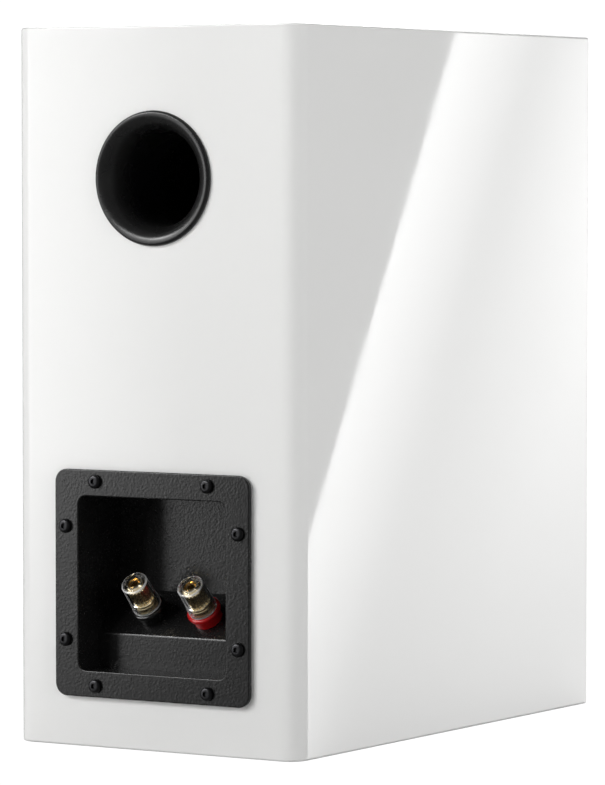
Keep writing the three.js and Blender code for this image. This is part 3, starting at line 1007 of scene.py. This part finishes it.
# Drivers: distances along Y run from the baffle's face into the cabinet.
# A surround is two halves of a roll that meet at its crest, running from the frame to the diaphragm.
def addRollHalf(name, profile, z, crest, edge, inner, body, finish, slotName, replaced):
    half = smooth(spun(name, profile, (0, frontY, z), 128), 50, False)
    half.data.materials.append(finish)
    far = 2 * crest - edge
    start, end = (far, edge) if inner else (edge, far)
    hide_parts(replaced)
    (frontY + start) * mm
    z * mm
    (frontY + end) * mm
    z * mm
    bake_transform(half)


def addWoofer():
    spot = (0, frontY, woofer["z"])
    flange, landing, deep = woofer["flange"], woofer["landing"], woofer["thickness"]
    frameSide = [(flange, deep), (74.5, deep), (72.5, 12), (56, 58), (50, 64), (24, 64)]
    frameSide += [(24, 61.5), (48.5, 61.5), (53.8, 56.5), (69.5, 12), (69.5, 1.5), (landing, 1.5)]
    frameSide += bow((landing + 0.6, 0.6), (0.6, 0.6), 180, 270, 4)
    frameSide += bow((flange - 0.9, 0.9), (0.9, 0.9), 270, 360, 5)
    body = spun("woofer_frame", frameSide, spot, 128)
    for turn in range(3):
        window = block("window", (-90, -11, -17), (90, 11, 17))
        roundAlong(window, 0, 4, 4)
        window.rotation_euler.y = math.radians(60 * turn)
        window.location = Vector((0, frontY + 28, woofer["z"])) * mm
        carve(body, settle(window))
    smooth(body, 30)
    dress(body, grained, "textured_black", "root", "woofer_basket")

    cone = [(60.4, 1.6), (60.4, 2.6), (57, 3.6), (52, 6.4), (45.4, 10.7), (38, 16)]
    cone += [(29.4, 23.9), (20.1, 33.5), (19.9, 32.2), (28.6, 23), (37.3, 15.1)]
    cone += [(44.8, 9.7), (51.5, 5.4), (55, 3.1), (57, 1.6)]
    skin = smooth(spun("pressed_cone", cone, spot, 128), 40, False)
    dress(skin, coneFinish, "cone_black", "woofer_diaphragm", "woofer_cone")
    dome = bow((0, 26.5), (23, 8), 0, -90, 16) + bow((0, 26.5), (22.2, 7.2), -90, 0, 16)
    cap = smooth(spun("dome_cap", dome, spot), 40, False)
    dress(cap, glossBlack, "cone_black", "woofer_diaphragm", "woofer_dust_cap")

    top, under = ((65.5, 1), (5, 6.4)), ((65.5, 1.2), (4.2, 5.5))
    outer = [(landing - gap, 1.2), (landing - gap, 0.4), (70.8, 0.4)]
    outer += bow(*top, 0, -90, 14) + bow(*under, -90, 0, 14)
    inner = bow(*top, -90, -180, 14) + [(57, 0.6), (57, 1.3)] + bow(*under, -180, -90, 14)
    ends = {"z": woofer["z"], "crest": -5.4, "body": "woofer_diaphragm", "finish": rubber}
    ends |= {"slotName": "surround_rubber", "replaced": "woofer_surround"}
    addRollHalf("woofer_roll_outer", outer, edge=0.4, inner=False, **ends)
    addRollHalf("woofer_roll_inner", inner, edge=0.6, inner=True, **ends)


def addTweeter():
    spot = (0, frontY, tweeter["z"])
    plate, deep = tweeter["plate"], tweeter["thickness"]
    guide = [(plate, deep), (17, deep), (17, 2.2), (17.2, 1.95), (19, 1.5), (22, 0.95), (26, 0.5)]
    guide += [(30, 0.18), (34, 0)]
    guide += bow((plate - 0.9, 0.9), (0.9, 0.9), 270, 360, 5)
    face = smooth(spun("tweeter_face", guide, spot, 128), 30)
    dress(face, grained, "textured_black", "root", "tweeter_faceplate")
    dome = bow((0, 2.8), (13, 6.4), 0, -90, 16) + bow((0, 2.8), (12.3, 5.7), -90, 0, 16)
    silkDome = smooth(spun("silk_dome", dome, spot), 40, False)
    dress(silkDome, silk, "dome_silk", "tweeter_diaphragm", "tweeter_dome")
    front, back = ((14.9, 2.6), (1.5, 1.6)), ((14.9, 3.4), (0.9, 1.2))
    ends = {"z": tweeter["z"], "crest": 1.0, "edge": 2.6, "body": "tweeter_diaphragm", "finish": silk}
    ends |= {"slotName": "surround_rubber", "replaced": "tweeter_surround"}
    outer = bow(*front, 0, -90, 8) + bow(*back, -90, 0, 8)
    inner = bow(*front, -90, -180, 8) + bow(*back, -180, -90, 8)
    addRollHalf("tweeter_roll_outer", outer, inner=False, **ends)
    addRollHalf("tweeter_roll_inner", inner, inner=True, **ends)


addWoofer()
print("woofer")
addTweeter()
print("tweeter")


# Lining and the pieces inside
lining = {"thickness": 12, "from": -60, "to": 105, "bottom": 30, "top": 190}


def addLining():
    x = halfWidth(lining["from"]) - cabinet["wall"] * math.sqrt(1 + slope**2) - gap
    low = (x - lining["thickness"], lining["from"], lining["bottom"])
    pad = block("left_foam_pad", low, (x, lining["to"], lining["top"]))
    editPick(pad)
    selectFaces(pad, lambda middle, normal: normal.y > 0.9)
    bpy.ops.transform.translate(value=((lining["from"] - lining["to"]) * slope * mm, 0, 0))
    bpy.ops.mesh.select_all(action="SELECT")
    bpy.ops.mesh.subdivide(number_cuts=24)
    toObjectMode()
    soften(pad, 1.5, 3)
    clouds = bpy.data.textures.new("foam swell", "CLOUDS")
    clouds.noise_scale = 0.02
    useModifier(pad, "DISPLACE", texture=clouds, strength=0.8 * mm, mid_level=1)
    smooth(pad, 60, False)
    twin = copyOf(pad, "right_foam_pad")
    twin.scale.x = -1
    settle(twin)
    editPick(twin)
    bpy.ops.mesh.select_all(action="SELECT")
    bpy.ops.mesh.normals_make_consistent(inside=False)
    toObjectMode()
    for obj, side in ((pad, "left"), (twin, "right")):
        dress(obj, foam, "damping_foam", "root", f"{side}_damping_pad")


insideFinishes = {
    boardFinish: ["cabinet_brace"],
    grained: ["port_tube", "tweeter_rear_chamber"],
    foam: ["cup_gasket"],
    zincSteel: [
        "black_post_nut",
        "red_post_nut",
        "woofer_top_plate",
        "woofer_yoke",
        "tweeter_top_plate",
        "tweeter_yoke",
    ],
    ferrite: ["woofer_magnet", "tweeter_magnet"],
    copper: ["woofer_voice_coil", "tweeter_voice_coil"],
    uprightCopper: ["woofer_inductor", "tweeter_inductor"],
    spiderCloth: ["woofer_spider"],
    circuitBoard: ["crossover_board"],
    blueSleeve: ["large_capacitor"],
    yellowSleeve: ["small_capacitor"],
    cement: ["resistor"],
    wireSheath: ["input_lead", "woofer_lead", "tweeter_lead"],
}


def finishInside():
    for finish, names in insideFinishes.items():
        for name in names:
            for materialSlot in nodes[name].material_slots:
                materialSlot.material = finish


addLining()
finishInside()
print("inside")
